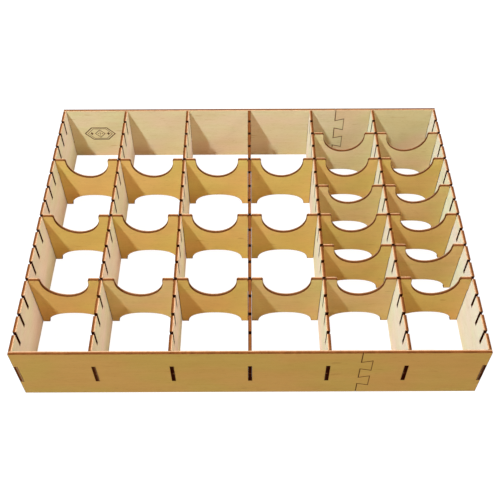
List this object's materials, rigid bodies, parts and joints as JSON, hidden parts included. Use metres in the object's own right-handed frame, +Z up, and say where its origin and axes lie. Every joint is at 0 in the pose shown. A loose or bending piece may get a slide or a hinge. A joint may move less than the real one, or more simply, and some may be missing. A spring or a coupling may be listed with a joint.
{
  "type": "box insert organizer",
  "caption": "Laser-cut plywood card tray for a game box: long open-bottomed columns with slotted walls and lift-out dividers with finger scoops.",
  "frame": {"origin": "middle of the footprint, on the plane of the lower edges that the insert stands on", "axes": "+X runs along the front wall to the right across the columns, +Y runs to the back wall, +Z is up"},
  "size_m": [0.4292, 0.328, 0.07],
  "materials": {
    "long_wall_ply": "bare birch plywood, laser-browned edges",
    "cross_wall_ply": "bare birch plywood, laser-browned edges",
    "divider_ply": "bare birch plywood, laser-browned edges"
  },
  "bodies": {
    "tray": {"front_wall_left": "long_wall_ply", "front_wall_right": "long_wall_ply", "back_wall_left": "long_wall_ply", "back_wall_right": "long_wall_ply", "left_side_wall": "cross_wall_ply", "partition_1": "cross_wall_ply", "partition_2": "cross_wall_ply", "partition_3": "cross_wall_ply", "partition_4": "cross_wall_ply", "partition_5": "cross_wall_ply", "right_side_wall": "cross_wall_ply"},
    "divider_column1_row1": {"divider_column1_row1": "divider_ply"},
    "divider_column1_row2": {"divider_column1_row2": "divider_ply"},
    "divider_column1_row3": {"divider_column1_row3": "divider_ply"},
    "divider_column2_row1": {"divider_column2_row1": "divider_ply"},
    "divider_column2_row2": {"divider_column2_row2": "divider_ply"},
    "divider_column2_row3": {"divider_column2_row3": "divider_ply"},
    "divider_column3_row1": {"divider_column3_row1": "divider_ply"},
    "divider_column3_row2": {"divider_column3_row2": "divider_ply"},
    "divider_column3_row3": {"divider_column3_row3": "divider_ply"},
    "divider_column4_row1": {"divider_column4_row1": "divider_ply"},
    "divider_column4_row2": {"divider_column4_row2": "divider_ply"},
    "divider_column4_row3": {"divider_column4_row3": "divider_ply"},
    "divider_column5_row1": {"divider_column5_row1": "divider_ply"},
    "divider_column5_row2": {"divider_column5_row2": "divider_ply"},
    "divider_column5_row3": {"divider_column5_row3": "divider_ply"},
    "divider_column5_row4": {"divider_column5_row4": "divider_ply"},
    "divider_column5_row5": {"divider_column5_row5": "divider_ply"},
    "divider_column5_row6": {"divider_column5_row6": "divider_ply"},
    "divider_column6_row1": {"divider_column6_row1": "divider_ply"},
    "divider_column6_row2": {"divider_column6_row2": "divider_ply"},
    "divider_column6_row3": {"divider_column6_row3": "divider_ply"},
    "divider_column6_row4": {"divider_column6_row4": "divider_ply"},
    "divider_column6_row5": {"divider_column6_row5": "divider_ply"},
    "divider_column6_row6": {"divider_column6_row6": "divider_ply"}
  },
  "joints": [
    {"name": "divider_column1_row1_lift", "type": "slide", "parent": "tray", "child": "divider_column1_row1", "axis": [0, 0, 1], "range_m": [0, 0.072]},
    {"name": "divider_column1_row2_lift", "type": "slide", "parent": "tray", "child": "divider_column1_row2", "axis": [0, 0, 1], "range_m": [0, 0.072]},
    {"name": "divider_column1_row3_lift", "type": "slide", "parent": "tray", "child": "divider_column1_row3", "axis": [0, 0, 1], "range_m": [0, 0.072]},
    {"name": "divider_column2_row1_lift", "type": "slide", "parent": "tray", "child": "divider_column2_row1", "axis": [0, 0, 1], "range_m": [0, 0.072]},
    {"name": "divider_column2_row2_lift", "type": "slide", "parent": "tray", "child": "divider_column2_row2", "axis": [0, 0, 1], "range_m": [0, 0.072]},
    {"name": "divider_column2_row3_lift", "type": "slide", "parent": "tray", "child": "divider_column2_row3", "axis": [0, 0, 1], "range_m": [0, 0.072]},
    {"name": "divider_column3_row1_lift", "type": "slide", "parent": "tray", "child": "divider_column3_row1", "axis": [0, 0, 1], "range_m": [0, 0.072]},
    {"name": "divider_column3_row2_lift", "type": "slide", "parent": "tray", "child": "divider_column3_row2", "axis": [0, 0, 1], "range_m": [0, 0.072]},
    {"name": "divider_column3_row3_lift", "type": "slide", "parent": "tray", "child": "divider_column3_row3", "axis": [0, 0, 1], "range_m": [0, 0.072]},
    {"name": "divider_column4_row1_lift", "type": "slide", "parent": "tray", "child": "divider_column4_row1", "axis": [0, 0, 1], "range_m": [0, 0.072]},
    {"name": "divider_column4_row2_lift", "type": "slide", "parent": "tray", "child": "divider_column4_row2", "axis": [0, 0, 1], "range_m": [0, 0.072]},
    {"name": "divider_column4_row3_lift", "type": "slide", "parent": "tray", "child": "divider_column4_row3", "axis": [0, 0, 1], "range_m": [0, 0.072]},
    {"name": "divider_column5_row1_lift", "type": "slide", "parent": "tray", "child": "divider_column5_row1", "axis": [0, 0, 1], "range_m": [0, 0.072]},
    {"name": "divider_column5_row2_lift", "type": "slide", "parent": "tray", "child": "divider_column5_row2", "axis": [0, 0, 1], "range_m": [0, 0.072]},
    {"name": "divider_column5_row3_lift", "type": "slide", "parent": "tray", "child": "divider_column5_row3", "axis": [0, 0, 1], "range_m": [0, 0.072]},
    {"name": "divider_column5_row4_lift", "type": "slide", "parent": "tray", "child": "divider_column5_row4", "axis": [0, 0, 1], "range_m": [0, 0.072]},
    {"name": "divider_column5_row5_lift", "type": "slide", "parent": "tray", "child": "divider_column5_row5", "axis": [0, 0, 1], "range_m": [0, 0.072]},
    {"name": "divider_column5_row6_lift", "type": "slide", "parent": "tray", "child": "divider_column5_row6", "axis": [0, 0, 1], "range_m": [0, 0.072]},
    {"name": "divider_column6_row1_lift", "type": "slide", "parent": "tray", "child": "divider_column6_row1", "axis": [0, 0, 1], "range_m": [0, 0.072]},
    {"name": "divider_column6_row2_lift", "type": "slide", "parent": "tray", "child": "divider_column6_row2", "axis": [0, 0, 1], "range_m": [0, 0.072]},
    {"name": "divider_column6_row3_lift", "type": "slide", "parent": "tray", "child": "divider_column6_row3", "axis": [0, 0, 1], "range_m": [0, 0.072]},
    {"name": "divider_column6_row4_lift", "type": "slide", "parent": "tray", "child": "divider_column6_row4", "axis": [0, 0, 1], "range_m": [0, 0.072]},
    {"name": "divider_column6_row5_lift", "type": "slide", "parent": "tray", "child": "divider_column6_row5", "axis": [0, 0, 1], "range_m": [0, 0.072]},
    {"name": "divider_column6_row6_lift", "type": "slide", "parent": "tray", "child": "divider_column6_row6", "axis": [0, 0, 1], "range_m": [0, 0.072]}
  ]
}
